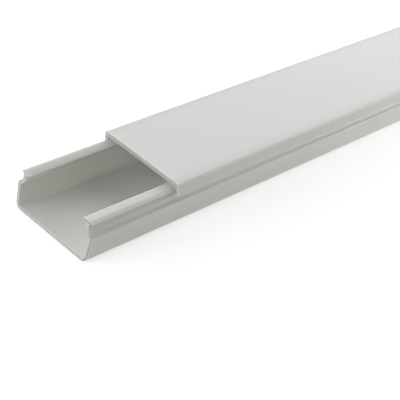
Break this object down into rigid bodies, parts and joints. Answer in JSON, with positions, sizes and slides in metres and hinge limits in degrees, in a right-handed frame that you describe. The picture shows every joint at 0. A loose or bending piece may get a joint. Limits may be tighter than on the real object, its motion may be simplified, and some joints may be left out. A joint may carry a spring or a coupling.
{
  "type": "cord cover raceway",
  "caption": "Self-adhesive plastic cable channel with snap lips, a matching cover slid along it, and a taped back with its release liner.",
  "frame": {"origin": "middle of the back, on the underside of the release liner, half way along the channel", "axes": "+X along the channel, away from the end that the cover leaves open; +Y across it; +Z from the back towards the cover"},
  "size_m": [0.4406, 0.0396, 0.0203],
  "materials": {
    "pvc_channel": "white rigid PVC, satin, as extruded",
    "pvc_cover": "white rigid PVC, satin, as extruded",
    "adhesive": "cream acrylic adhesive film, slightly shiny",
    "liner": "amber siliconised paper"
  },
  "bodies": {
    "channel": {"base_channel": "pvc_channel", "adhesive_tape": "adhesive", "release_liner": "liner"},
    "cover": {"cover": "pvc_cover"}
  },
  "joints": [
    {"name": "cover_slide", "type": "slide", "parent": "channel", "child": "cover", "axis": [1, 0, 0], "range_m": [-0.04065, 0.36]}
  ]
}
